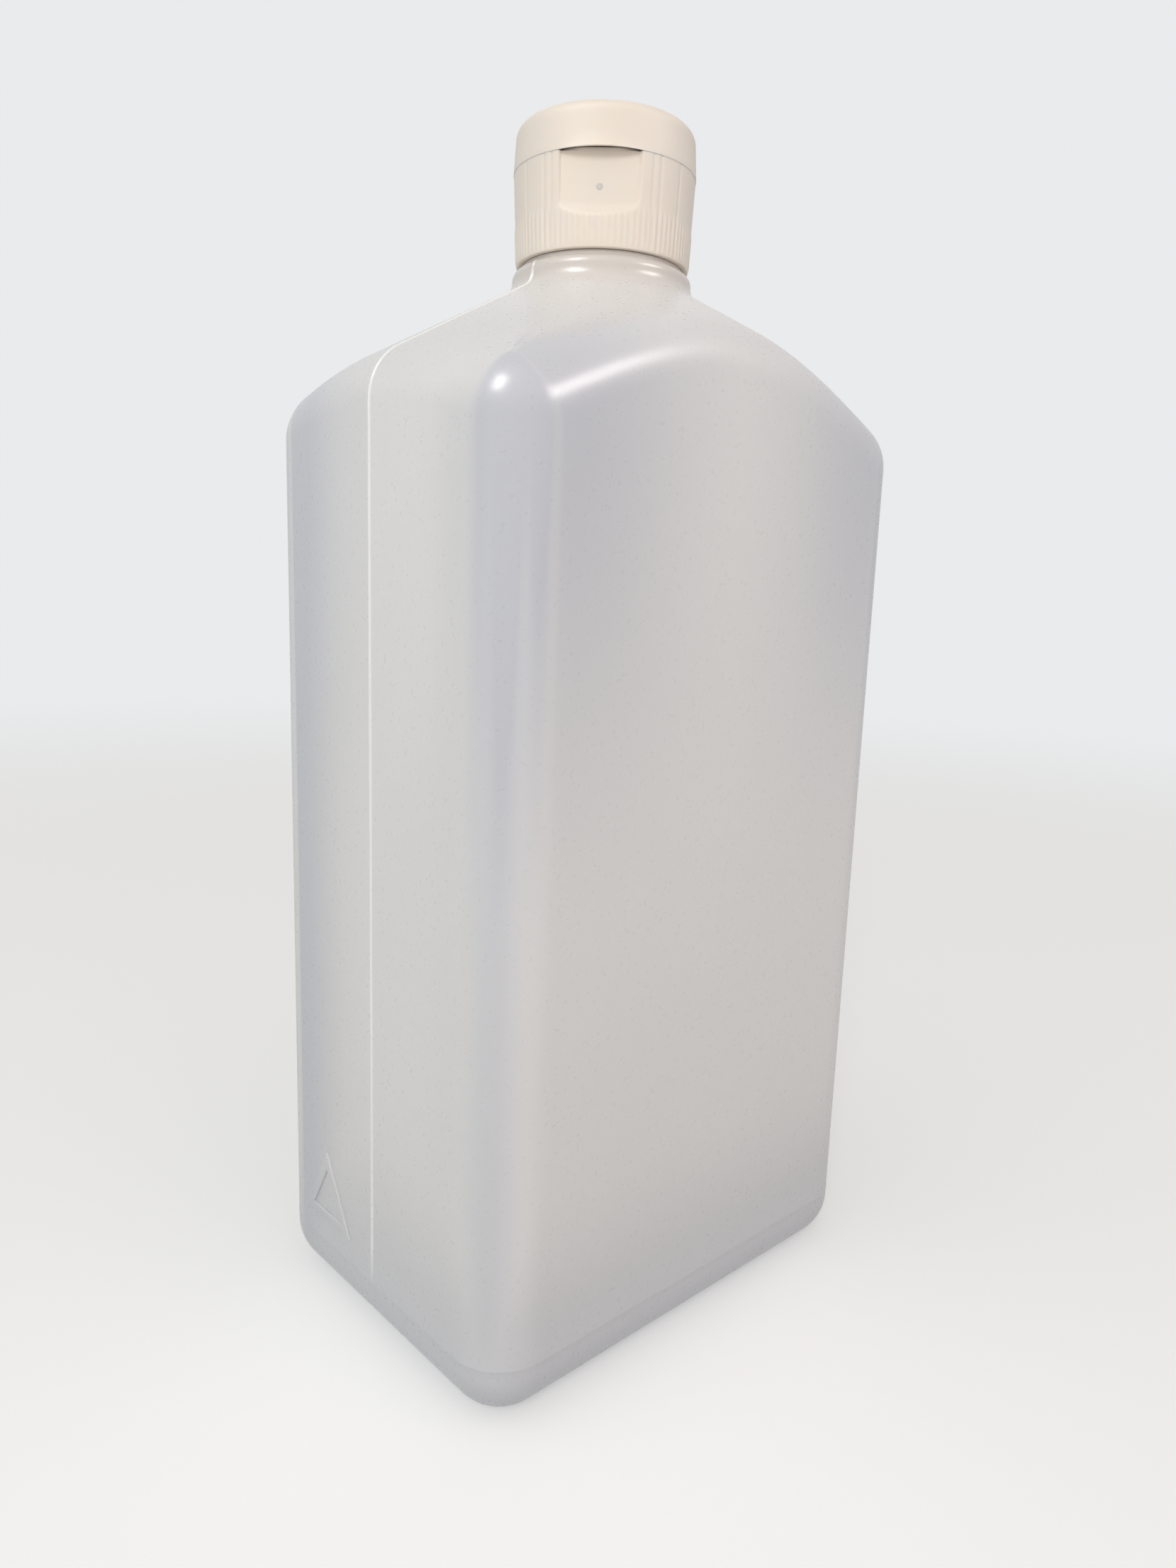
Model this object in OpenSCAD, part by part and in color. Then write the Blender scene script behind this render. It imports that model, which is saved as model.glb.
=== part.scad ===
// Rectangular one-litre bottle with a screw-on flip-top cap.
// The bottle is blown in one piece, with a sloping shoulder that is a cone about the neck.
// The cap is a threaded base and a lid, hinged opposite the thumb recess.
// The origin is at the middle of the base, X runs along the wide faces and Z is up.

/* [Bottle] */
// Width, along the wide faces
body_w = 95; // [80:0.5:120]
// Depth, along the narrow faces
body_d = 69.3; // [60:0.1:90]
// Height at which the sloping shoulder meets the collar's wall
shoulder_h = 185.2; // [150:0.1:230]
// Slope of the shoulder, in degrees above level
shoulder_slope = 28.6; // [24:0.1:36]
// Radius of the upright corners, the base edge and the shoulder's edge
edge_r = 10; // [7:0.5:12]
// Thickness of the blown wall
wall = 1; // [0.8:0.1:1.5]
// Depth of the panel that is pushed up into the base
base_panel_depth = 1.4; // [0.6:0.1:2.5]
// Width of the flat ring on which the bottle stands
foot_w = 5; // [3:0.5:7]
// Height of the mould's base insert, which leaves a line round the walls
insert_h = 11.6; // [8:0.1:16]
// How far the mould's lines stand out of the wall
seam_h = 0.16; // [0.1:0.02:0.3]
// Width of the ridge at the mould's parting plane
seam_w = 0.5; // [0.3:0.1:1]

/* [Warning triangle for the fingers] */
// Side of the raised triangle
triangle_side = 16.2; // [14:0.1:20]
// Width of its ridge
triangle_ridge = 1.8; // [1:0.1:2.5]
// How far the ridge stands out
triangle_h = 0.4; // [0.2:0.05:0.6]
// Distance of its middle from the narrow face's parting line
triangle_y = 15.4; // [12:0.1:20]
// Height of its lower edge
triangle_z = 16.1; // [13:0.1:40]

/* [Neck] */
// Radius of the collar under the cap
collar_r = 15.85; // [15.5:0.05:17]
// Height of the collar's wall, from the shoulder to its flat top
collar_h = 3.8; // [3:0.1:6]
// Radius of the hollow curve at the collar's foot
collar_fillet = 3.2; // [2:0.1:4]
// Radius of the collar's upper edge
collar_round = 1.7; // [1:0.1:2.2]
// Radius of the neck at the root of its thread
neck_r = 12.4; // [12.2:0.05:12.7]
// Radius over the neck's thread
thread_r = 13.55; // [13.4:0.05:13.7]
// Radius of the bore
bore_r = 10.6; // [10:0.05:11]
// Height of the neck above the collar
neck_h = 14.2; // [13:0.1:16]

/* [Cap base] */
// Way the thumb recess faces, in degrees from the wide front face
cap_turn = -44.5; // [-180:0.5:180]
// Gap between the collar and the cap
cap_gap = 0.8; // [0.5:0.1:1.5]
// Radius of the skirt at its lower edge
skirt_low_r = 15.2; // [15:0.05:15.6]
// Radius of the skirt at the seam under the lid
skirt_top_r = 15.8; // [15.6:0.05:16.4]
// Clearance between the thread and the skirt's bore
thread_clear = 0.15; // [0.1:0.05:0.25]
// Clearance between the neck's mouth and the deck
mouth_clear = 0.3; // [0.2:0.05:0.6]
// Thickness of the deck at the lid's seat
seat_t = 0.8; // [0.6:0.05:1.2]
// Height of the ring that guides the lid, above the seat
guide_h = 1; // [0.6:0.1:1.6]
// Radius of the pouring hole
spout_r = 2.5; // [2:0.1:3.5]
// Wall of the pouring spout
spout_wall = 1.4; // [1:0.1:2]
// Height of the spout above the seat
spout_h = 2.4; // [1.6:0.1:3]
// Length of the plug that seals the neck's bore
plug_h = 3; // [2:0.1:4]
// Clearance between the plug and the bore
plug_clear = 0.1; // [0.05:0.01:0.2]
// Distance of the thumb recess's flat floor from the axis
recess_y = 14.2; // [14:0.05:14.8]
// Height of the thumb recess
recess_h = 8.2; // [6:0.1:10]
// Number of fine grip ribs
rib_count = 90; // [60:1:100]
// How far the ribs stand out
rib_h = 0.12; // [0.05:0.01:0.25]
// Height of the ribs
rib_len = 5.6; // [3:0.1:6]

/* [Lid] */
// Radius of the lid at its seam
lid_r = 15.95; // [15.7:0.05:16.5]
// Radius of the lid's wall where the rounded top edge starts
lid_top_r = 15.6; // [15.2:0.05:16]
// Height of the lid up to its flat top's edge
lid_h = 8; // [7:0.1:10]
// Extra height of the crown in the middle of the top
crown_h = 0.3; // [0.2:0.1:1]
// Radius of the rounded top edge
lid_round = 2.2; // [1.5:0.1:3]
// Thickness of the lid
lid_wall = 1.2; // [1:0.05:1.5]
// How far the thumb lip stands out
lip_out = 0.55; // [0.3:0.05:1]
// Distance of the hinge line from the axis
hinge_y = 15; // [14.8:0.05:15.2]

/* [Hidden] */

fine = 96;
coarse = 48;
lap = 1;

apex_h = shoulder_h + collar_r * tan(shoulder_slope);
core_w = body_w - 2 * edge_r;
core_d = body_d - 2 * edge_r;
core_apex = apex_h - edge_r / cos(shoulder_slope);
core_tip_r = collar_r - edge_r * sin(shoulder_slope) - 1;
core_tip_h = core_apex - core_tip_r * tan(shoulder_slope);

collar_top = shoulder_h + collar_h;
mouth_h = collar_top + neck_h;
cap_low = collar_top + cap_gap;
skirt_bore_r = thread_r + thread_clear;
deck_low = mouth_h + mouth_clear;
seat_h = deck_low + seat_t;
skirt_h = seat_h - cap_low;
skirt_lean = atan((skirt_top_r - skirt_low_r) / skirt_h);
recess_low = seat_h - recess_h;
plug_r = bore_r - plug_clear;
plug_wall = 1.1;
guide_clear = 0.3;
guide_r = lid_r - lid_wall - guide_clear;
lid_inner_r = lid_r - lid_wall;
lid_top = seat_h + lid_h;
ceiling_h = lid_top - lid_wall;
hinge_clear = 0.15;
hinge_flat = hinge_y - hinge_clear;
bevel = 0.4;
groove_count = 16;
groove_start = 10;
pin_r = spout_r - 0.2;
pin_tip_r = spout_r - 0.6;
pin_depth = 1.6;

// A ball whose flats, not its corners, lie at the given radius, so that walls are true to size
module ball(r, sides) {
    sphere(r = r / cos(180 / sides), $fn = sides);
}

// The blown form less its rounding: an upright block under a cone
module core(sides) {
    intersection() {
        translate([-core_w / 2, -core_d / 2, edge_r])
            cube([core_w, core_d, core_tip_h]);
        translate([0, 0, edge_r])
            cylinder(h = core_tip_h - edge_r,
                r1 = (core_apex - edge_r) / tan(shoulder_slope),
                r2 = core_tip_r, $fn = sides);
    }
}

// The core's outline in the mould's parting plane
module core_outline() {
    side_h = core_apex - core_w / 2 * tan(shoulder_slope);
    polygon([
        [-core_w / 2, edge_r], [core_w / 2, edge_r], [core_w / 2, side_h],
        [core_tip_r, core_tip_h], [-core_tip_r, core_tip_h], [-core_w / 2, side_h],
    ]);
}

module blown_form(round_r, sides) {
    minkowski() {
        core(fine * 3 / 4);
        ball(round_r, sides);
    }
}

module rounded_plate(w, d, r, h) {
    linear_extrude(h) {
        square([w - 2 * r, d], center = true);
        square([w, d - 2 * r], center = true);
        for (x = [-1, 1], y = [-1, 1])
            translate([x * (w / 2 - r), y * (d / 2 - r)])
                circle(r, $fn = fine);
    }
}

// Section of the collar, from the axis to its wall, with a hollow foot and a rounded top edge
module collar_section() {
    fillet_x = collar_r + collar_fillet;
    bite = 0.04;
    fillet_h = apex_h - fillet_x * tan(shoulder_slope) + collar_fillet / cos(shoulder_slope) - bite;
    touch_x = fillet_x - collar_fillet * sin(shoulder_slope);
    touch_h = fillet_h - collar_fillet * cos(shoulder_slope);
    translate([0, shoulder_h])
        square([collar_r, collar_h - collar_round]);
    translate([0, shoulder_h])
        square([collar_r - collar_round, collar_h]);
    translate([collar_r - collar_round, collar_top - collar_round])
        circle(collar_round, $fn = fine);
    difference() {
        polygon([
            [collar_r - lap, fillet_h], [fillet_x, fillet_h], [touch_x, touch_h],
            [touch_x, touch_h - wall / 2], [collar_r - lap, touch_h - wall / 2],
        ]);
        translate([fillet_x, fillet_h])
            circle(collar_fillet, $fn = fine);
    }
}

// Section of the neck above the collar, with its outer edge broken at the mouth
module neck_section() {
    polygon([
        [0, collar_top - lap], [neck_r, collar_top - lap], [neck_r, mouth_h - bevel],
        [neck_r - bevel, mouth_h], [0, mouth_h],
    ]);
}

// The ridge left where the two mould halves met, from the base insert up to the collar's edge
module parting_ridge() {
    rotate([90, 0, 0])
        linear_extrude(seam_w, center = true)
            intersection() {
                difference() {
                    offset(r = seam_h, $fn = coarse) parting_outline();
                    offset(delta = -wall / 2) parting_outline();
                }
                translate([-body_w, insert_h])
                    square([2 * body_w, collar_top - collar_round - insert_h]);
            }
}

module parting_outline() {
    offset(r = edge_r, $fn = coarse) core_outline();
    for (side = [0, 1])
        mirror([side, 0]) collar_section();
}

// The faint line at the top of the mould's base insert
module insert_line() {
    difference() {
        translate([0, 0, insert_h - seam_w / 2])
            rounded_plate(body_w + seam_h, body_d + seam_h, edge_r + seam_h / 2, seam_w);
        translate([0, 0, insert_h - lap])
            rounded_plate(body_w - wall, body_d - wall, edge_r - wall / 2, 2 * lap);
    }
}

// The raised triangle low on the narrow face
module warning_triangle() {
    ridge_inset = 2 * triangle_ridge;
    outer_r = triangle_side / sqrt(3);
    translate([-body_w / 2 - triangle_h, triangle_y, triangle_z + outer_r / 2])
        rotate([0, 90, 0])
            linear_extrude(triangle_h + wall / 2)
                difference() {
                    rotate(180) circle(outer_r, $fn = 3);
                    rotate(180) circle(outer_r - ridge_inset, $fn = 3);
                }
}

// The base's middle, pushed up so that the bottle stands on a ring, with walls that lean in
module base_push_up(depth, grow) {
    panel_w = core_w - 2 * foot_w + 2 * grow;
    panel_d = core_d - 2 * foot_w + 2 * grow;
    translate([0, 0, -lap])
        linear_extrude(depth + lap, scale = [1 - 3 * depth / panel_w, 1 - 3 * depth / panel_d])
            offset(r = foot_w, $fn = coarse)
                square([panel_w - 2 * foot_w, panel_d - 2 * foot_w], center = true);
}

module cavity() {
    difference() {
        blown_form(edge_r - wall, coarse / 2);
        base_push_up(base_panel_depth + wall, wall);
    }
}

module bottle() {
    color([0.88, 0.89, 0.9])
        union() {
            difference() {
                union() {
                    blown_form(edge_r, coarse);
                    rotate_extrude($fn = fine) collar_section();
                    rotate_extrude($fn = fine) neck_section();
                    parting_ridge();
                    insert_line();
                    warning_triangle();
                }
                cavity();
                base_push_up(base_panel_depth, 0);
                translate([0, 0, shoulder_h - wall])
                    cylinder(h = mouth_h - shoulder_h + wall + lap, r = bore_r, $fn = fine);
            }
            pinch_weld();
        }
}

// The weld across the base where the mould pinched the tube shut
module pinch_weld() {
    weld_r = 0.6;
    weld_len = core_w - 4 * foot_w;
    translate([-weld_len / 2, 0, base_panel_depth])
        rotate([0, 90, 0])
            cylinder(h = weld_len, r = weld_r, $fn = coarse);
}

// Puts an upright tool on the skirt's leaning wall, at an angle round the axis
module on_skirt(angle, radius_at_foot) {
    rotate([0, 0, angle])
        translate([0, -radius_at_foot, cap_low])
            rotate([skirt_lean, 0, 0])
                children();
}

module skirt_section() {
    polygon([
        [skirt_bore_r, cap_low + bevel], [skirt_bore_r + bevel, cap_low],
        [skirt_low_r - bevel / 2, cap_low], [skirt_low_r, cap_low + bevel / 2],
        [skirt_top_r, seat_h], [0, seat_h], [0, deck_low], [skirt_bore_r, deck_low],
    ]);
}

module guide_section() {
    translate([guide_r - lid_wall, seat_h - seat_t / 2])
        square([lid_wall, guide_h + seat_t / 2 - bevel]);
    translate([guide_r - lid_wall, seat_h - seat_t / 2])
        square([lid_wall - bevel, guide_h + seat_t / 2]);
    translate([guide_r - bevel, seat_h + guide_h - bevel])
        circle(bevel, $fn = coarse);
}

module spout_section() {
    polygon([
        [0, seat_h - seat_t / 2], [spout_r + spout_wall, seat_h - seat_t / 2],
        [spout_r + spout_wall, seat_h + spout_h - bevel],
        [spout_r + spout_wall - bevel, seat_h + spout_h], [0, seat_h + spout_h],
    ]);
}

module plug_section() {
    polygon([
        [plug_r - plug_wall, deck_low + seat_t / 2], [plug_r - plug_wall, deck_low - plug_h],
        [plug_r - bevel, deck_low - plug_h], [plug_r, deck_low - plug_h + 2 * bevel],
        [plug_r, deck_low + seat_t / 2],
    ]);
}

// A flat cut into the round wall, with a ledge at 45 degrees under it
module wall_cut(flat_y) {
    reach = 3;
    rotate([90, 0, 90])
        linear_extrude(2 * skirt_top_r, center = true)
            polygon([
                [-flat_y, seat_h + lap], [-flat_y, recess_low],
                [-flat_y - reach, recess_low - reach], [-flat_y - reach, seat_h + lap],
            ]);
}

module cap_base() {
    groove_r = 0.6;
    rib_r = 0.35;
    color([0.95, 0.93, 0.89])
        rotate([0, 0, cap_turn])
            difference() {
                union() {
                    rotate_extrude($fn = fine) skirt_section();
                    intersection() {
                        rotate_extrude($fn = fine) guide_section();
                        hinge_side_limit(hinge_flat - lid_wall - guide_clear);
                    }
                    rotate_extrude($fn = fine) spout_section();
                    rotate_extrude($fn = fine) plug_section();
                    for (i = [0 : rib_count - 1])
                        on_skirt(360 * (i + 0.5) / rib_count, skirt_low_r - rib_r + rib_h)
                            translate([0, 0, bevel])
                                cylinder(h = rib_len, r = rib_r, $fn = 16);
                }
                for (i = [0 : groove_count - 1])
                    on_skirt(groove_start + 360 * i / groove_count, skirt_low_r + groove_r - rib_h)
                        translate([0, 0, -lap])
                            cylinder(h = skirt_h + 2 * lap, r = groove_r, $fn = 24);
                wall_cut(recess_y);
                rotate([0, 0, 180]) wall_cut(hinge_flat);
                translate([0, 0, deck_low - lap])
                    cylinder(h = seat_t + spout_h + 2 * lap, r = spout_r, $fn = coarse);
            }
}

// Everything on the axis's side of a plane across the hinge side
module hinge_side_limit(plane_y) {
    size = 4 * skirt_top_r;
    translate([-size / 2, plane_y - size, cap_low - lap])
        cube([size, size, size]);
}

module lid_section() {
    translate([0, seat_h])
        polygon([
            [0, 0], [lid_r, 0], [lid_top_r, lid_h - lid_round], [0, lid_h - lid_round],
        ]);
    translate([0, lid_top - lid_round - lap])
        square([lid_top_r - lid_round, lid_round + lap]);
    translate([lid_top_r - lid_round, lid_top - lid_round])
        circle(lid_round, $fn = fine);
    intersection() {
        translate([0, lid_top + crown_h - crown_r()])
            circle(crown_r(), $fn = 4 * fine);
        translate([0, lid_top - lap])
            square([lid_top_r - lid_round, 2 * lap]);
    }
}

// Radius of the crown's arc, which ends where the rounded edge begins
function crown_r() = ((lid_top_r - lid_round) ^ 2 + crown_h ^ 2) / (2 * crown_h);

// The thumb lip: a small cone set forward, which breaks out of the lid's wall at the front
module thumb_lip() {
    forward = 5;
    lip_h = 2.1;
    lip_r = lid_r + lip_out - forward;
    translate([0, -forward, seat_h])
        cylinder(h = lip_h, r1 = lip_r, r2 = lip_r - lip_out - bevel / 2, $fn = fine);
}

module lid_hollow() {
    intersection() {
        translate([0, 0, seat_h - lap])
            cylinder(h = ceiling_h - seat_h + lap, r = lid_inner_r, $fn = fine);
        hinge_side_limit(hinge_flat - lid_wall);
    }
}

// The pin that stops the pouring hole, tapered so that it swings clear of the spout
module stopper_pin() {
    spout_top = seat_h + spout_h;
    translate([0, 0, spout_top - pin_depth])
        cylinder(h = pin_depth, r1 = pin_tip_r, r2 = pin_r, $fn = coarse);
    translate([0, 0, spout_top])
        cylinder(h = ceiling_h - spout_top + lid_wall / 2, r = pin_r, $fn = coarse);
}

module lid() {
    color([0.96, 0.94, 0.9])
        rotate([0, 0, cap_turn]) {
            intersection() {
                difference() {
                    union() {
                        rotate_extrude($fn = fine) lid_section();
                        thumb_lip();
                    }
                    lid_hollow();
                }
                hinge_side_limit(hinge_flat);
            }
            stopper_pin();
        }
}

bottle();
cap_base();
lid();
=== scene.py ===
# %% [markdown]
# # A litre bottle of natural polyethylene with a flip-top cap
#
# The real bottle is blown: a soft tube of polyethylene is shut in a mould of two halves, and air
# presses it against the walls. That leaves a thin milky shell, a fine ridge where the halves met
# and a line where the mould's base insert ends. The cap is moulded from white polypropylene, base
# and lid in one piece with a thin hinge between them. Each of these parts is made below as one
# closed mesh. The sizes are in millimetres, as on a drawing, and a mesh is brought to metres last.

# %% Load the frame
import math

import bmesh
import bpy
from mathutils import Matrix, Vector


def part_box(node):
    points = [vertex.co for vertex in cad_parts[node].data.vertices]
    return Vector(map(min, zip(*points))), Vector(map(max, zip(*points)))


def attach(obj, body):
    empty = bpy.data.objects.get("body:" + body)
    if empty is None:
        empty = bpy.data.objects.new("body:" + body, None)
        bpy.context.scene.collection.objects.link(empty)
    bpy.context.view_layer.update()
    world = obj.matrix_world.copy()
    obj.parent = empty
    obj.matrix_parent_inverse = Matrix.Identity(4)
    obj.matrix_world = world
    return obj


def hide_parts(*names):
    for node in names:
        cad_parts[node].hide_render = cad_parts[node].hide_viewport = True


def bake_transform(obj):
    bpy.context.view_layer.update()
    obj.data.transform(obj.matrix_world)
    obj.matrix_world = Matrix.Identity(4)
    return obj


MM = 0.001
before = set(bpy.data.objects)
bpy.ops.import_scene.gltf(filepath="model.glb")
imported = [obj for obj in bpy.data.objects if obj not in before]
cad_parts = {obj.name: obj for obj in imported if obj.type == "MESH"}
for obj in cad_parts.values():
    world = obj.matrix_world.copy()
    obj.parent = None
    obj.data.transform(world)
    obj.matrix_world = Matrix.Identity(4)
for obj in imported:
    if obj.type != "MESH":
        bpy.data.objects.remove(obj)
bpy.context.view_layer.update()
bottle_low, bottle_high = (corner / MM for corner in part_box("bottle"))
cap_low_corner, cap_high_corner = (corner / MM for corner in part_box("cap_base"))
lid_low_corner, lid_high_corner = (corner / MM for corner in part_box("lid"))
print("bottle's corners in mm:", [round(c, 2) for c in (*bottle_low, *bottle_high)])

# %% [markdown]
# ## The camera
#
# The view is the photograph's own: near the bottle, a little above its middle and low enough to
# look up at the cap. The place, the turn and the lens were solved from the bottle's outline, so
# the edges of the render fall on the same pixels. Building the camera's axes one by one keeps the
# small roll that a hand-held picture has, which a track-to constraint would lose.

# %% Camera
IMAGE_W, IMAGE_H = 1659, 2212
SENSOR = 36.0
FOCAL_PIXELS = 1521.38
NEAREST_SEEN = 0.01
CAMERA_PLACE = Vector((-0.13841, -0.15128, 0.13560))
HEADING, PITCH, ROLL = (math.radians(d) for d in (-42.626, 10.561, -1.929))


def camera_axes(heading, pitch, roll):
    """The camera's right, up and backward directions in the row frame."""
    level = Vector((math.cos(heading), math.sin(heading), 0))
    ahead = Vector((-math.sin(heading), math.cos(heading), 0))
    forward = math.cos(pitch) * ahead - Vector((0, 0, math.sin(pitch)))
    down = forward.cross(level)
    right = math.cos(roll) * level + math.sin(roll) * down
    lower = math.cos(roll) * down - math.sin(roll) * level
    return right, -lower, -forward


camera_data = bpy.data.cameras.new("camera")
camera_data.sensor_width = SENSOR
camera_data.lens = FOCAL_PIXELS * SENSOR / max(IMAGE_W, IMAGE_H)
camera_data.clip_start = NEAREST_SEEN
camera = bpy.data.objects.new("camera", camera_data)
axes = Matrix(camera_axes(HEADING, PITCH, ROLL)).transposed()
camera.matrix_world = Matrix.Translation(CAMERA_PLACE) @ axes.to_4x4()
bpy.context.scene.collection.objects.link(camera)
bpy.context.scene.camera = camera
print("lens", round(camera_data.lens, 2), "mm")

# %% [markdown]
# ## Helpers for every piece
#
# Each piece starts as a bmesh in millimetres. `finish_piece` scales it to metres, shades it
# smooth and hangs it on its body; its material comes later. Angles sharper than a limit stay
# crisp, as the edges of a moulding do, while the blown walls flow into each other.

# %% Helpers
SHARP = math.radians(38)


def turn_all(bm, angle, axis="Z"):
    """Turns a whole bmesh about an axis through the origin."""
    bmesh.ops.rotate(bm, verts=bm.verts, cent=(0, 0, 0), matrix=Matrix.Rotation(angle, 3, axis))


def make_object(bm, name):
    """Turns a bmesh into an object of the scene."""
    mesh = bpy.data.meshes.new(name)
    bm.to_mesh(mesh)
    bm.free()
    made = bpy.data.objects.new(name, mesh)
    bpy.context.scene.collection.objects.link(made)
    return made


def finish_piece(bm, name, body, sharp=SHARP):
    """Turns a bmesh in millimetres into a shaded object in metres that rides on a body."""
    bmesh.ops.scale(bm, vec=(MM, MM, MM), verts=bm.verts)
    for face in bm.faces:
        face.smooth = True
    for edge in bm.edges:
        edge.smooth = len(edge.link_faces) < 2 or edge.calc_face_angle(0) < sharp
    piece = make_object(bm, name)
    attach(piece, body)
    print(name, "has", len(piece.data.polygons), "faces")
    return piece


def arc(centre_r, centre_z, radius, start, end, steps, side=1):
    """Points on an arc of a section, each with its outward direction. A hollow arc has side -1."""
    points = []
    for i in range(steps + 1):
        angle = math.radians(start + (end - start) * i / steps)
        out = (math.cos(angle), math.sin(angle))
        points.append((centre_r + radius * out[0], centre_z + radius * out[1], side * out[0], side * out[1]))
    return points


# %% [markdown]
# ## The form of the blown body
#
# Under the rounding lies a simple core: an upright block cut off by a flat cone about the neck.
# Every point of the outer skin is 10 mm away from that core, which rounds all edges and corners
# at once, and the inner skin is 9 mm away from it. A subdivided cube with a bevel could come
# close, but its top would not be a true cone. So the skin is drawn as a stack of rings with the
# same columns: a column knows its place on the core's outline and the way its wall faces.

# %% Sizes of the blown body
SEAM_RISE = 0.16
EDGE_R = 10.0
WALL = 1.0
SLOPE = math.radians(28.6)
NECK_H = 14.2
COLLAR_H = 3.8
COLLAR_R = 15.85
COLLAR_FILLET = 3.2
COLLAR_ROUND = 1.7
NECK_R = 12.4
BORE_R = 10.6
NECK_ROUND = 0.4

half_w = bottle_high.x - SEAM_RISE
half_d = bottle_high.y - SEAM_RISE / 2
mouth = bottle_high.z
collar_top = mouth - NECK_H
shoulder = collar_top - COLLAR_H
core_w, core_d = half_w - EDGE_R, half_d - EDGE_R
apex = shoulder + COLLAR_R * math.tan(SLOPE)
core_apex = apex - EDGE_R / math.cos(SLOPE)
print("half width", round(half_w, 2), "half depth", round(half_d, 2), "shoulder", round(shoulder, 2))

# %% [markdown]
# ## Columns round the outline
#
# The columns stand close together in the corners, where the skin turns, and on both sides of the
# mould's parting plane, where the ridge needs a crown and two flanks. On the flat panels they can
# stand wide apart. A column also carries a share of painted shade: a darker, bluer tone down the
# corners, along the narrow face's back edge and towards the top of the walls, with faint upright
# streaks near the corners' tops that are painted reflections. The blown wall is thinner in the
# corners too, where the soft tube is stretched, but the tone stands for shade. The finish of the
# plastic will read that.

# %% Columns
CORNER_STEPS = 18
SEAM_FLANKS = {0.1: 0.95, 0.19: 0.4, 0.28: 0.0, 0.7: 0.0}
NARROW_STEPS = (2, 5, 9, 13, 17, 21)
WIDE_STEPS = (4, 8, 12, 16, 20, 24, 28, 32, 35)


def seam_share(y):
    """How much of the parting ridge's height a column at that distance from the plane carries."""
    return 1.0 if y == 0 else SEAM_FLANKS.get(abs(y), 0.0)


# Painted shade down the corners and towards the top, with painted reflections as upright streaks.
BAND_AT, BAND_WIDTH, BAND_DEPTH = 0.42, 0.3, 0.68
TOP_NARROW, TOP_WIDE = 0.3, 0.95
STREAK_AT, STREAK_STEP = 0.33, 0.31
STREAK_DEPTH = 0.3
WIDE_REACH, NARROW_REACH, BACK_REACH = 24, 6, 12
BACK_SHADE, BACK_TOP = 0.95, 0.25


def band(way):
    """The band of painted shade down a corner. The way through it goes from 0, narrow face, to 1, wide face.
    """
    return BAND_DEPTH * math.exp(-(((way - BAND_AT) / BAND_WIDTH) ** 2))


def top_zone(way):
    """How much more painted shade a corner gets towards its top."""
    return TOP_NARROW + (TOP_WIDE - TOP_NARROW) * min(1, way / 0.7)


def streak(way):
    """The upright streaks near a corner's top, painted reflections: above 0 a darker line, below 0 a lighter
    one.
    """
    edge = min(1, way / 0.4, (1 - way) / 0.1)
    return -STREAK_DEPTH * edge * math.cos(2 * math.pi * (way - STREAK_AT) / STREAK_STEP)


def panel_thin_shade(place, half, narrow, front):
    """Two shares of painted shade on a panel: all the way up, and only near the top."""
    distance = half - abs(place)
    if not narrow:
        fall = math.exp(-((distance / WIDE_REACH) ** 2))
        return band(1) * fall, TOP_WIDE * fall
    if place * front > 0:
        fall = math.exp(-((distance / NARROW_REACH) ** 2))
        return band(0) * fall, TOP_NARROW * fall
    # The narrow face's back edge gets painted shade.
    return BACK_SHADE * math.exp(-((distance / BACK_REACH) ** 2)), BACK_TOP


def side_positions(half, steps):
    """Places along one side of the core, from one corner to the other."""
    inner = sorted({0, *steps, *(-s for s in steps)})
    return [-half, *inner, half]


def walk_round():
    """The columns: (place on the core, way out, ridge's share, keeps its y, painted shade low and high)."""
    columns = []
    for quarter in range(4):
        turn = quarter * math.pi / 2
        out = Vector((round(math.cos(turn)), round(math.sin(turn))))
        along = Vector((-out.y, out.x))
        narrow = quarter % 2 == 0
        reach, half = (core_w, core_d) if narrow else (core_d, core_w)
        steps = (*SEAM_FLANKS, *NARROW_STEPS) if narrow else WIDE_STEPS
        for place in side_positions(half, steps):
            share = seam_share(place) if narrow else 0.0
            straight = narrow and abs(place) <= max(SEAM_FLANKS)
            low, high = panel_thin_shade(place, half, narrow, -along.y)
            columns.append((out * reach + along * place, out, share, straight, low, low + high))
        for i in range(1, CORNER_STEPS):
            angle = turn + math.pi / 2 * i / CORNER_STEPS
            way = Vector((math.cos(angle), math.sin(angle)))
            part = i / CORNER_STEPS if narrow else 1 - i / CORNER_STEPS
            low = band(part)
            high = low + top_zone(part) + streak(part)
            columns.append((out * reach + along * half, way, 0.0, False, low, high))
    return columns


columns = walk_round()
print(len(columns), "columns")

# %% [markdown]
# ## Where a ring lies
#
# Six small functions place a point of a column: on the panel of the base, round the base edge,
# up the wall, over the shoulder's edge, along the cone and on the turned part. Round an edge the
# way out swings from one face's normal to the other's, which is a slerp, and the point stays at
# the skin's distance from the core. A rise lifts the point off the skin, for the parting ridge.

# %% Places on the skin
DOWN = Vector((0, 0, -1))


def lift(flat, z=0.0):
    """A point or a way in the plan, at a height."""
    return Vector((flat.x, flat.y, z))


def cone_normal(core):
    """The way out of the cone above a place of the core."""
    radial = core.normalized()
    return Vector((radial.x * math.sin(SLOPE), radial.y * math.sin(SLOPE), math.cos(SLOPE)))


def on_base_edge(column, skin, turn):
    """Round the base edge: turn goes from 0, under the foot, to 1, on the wall."""
    core, out = column[:2]
    return lift(core, EDGE_R) + skin * DOWN.slerp(lift(out), turn)


def on_wall(column, skin, z, rise=0.0):
    """On the upright wall."""
    core, out = column[:2]
    return lift(core, z) + (skin + rise) * lift(out)


def wall_top(column):
    """Height at which the wall of a column ends, on the core's upper edge."""
    return core_apex - column[0].length * math.tan(SLOPE)


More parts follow.
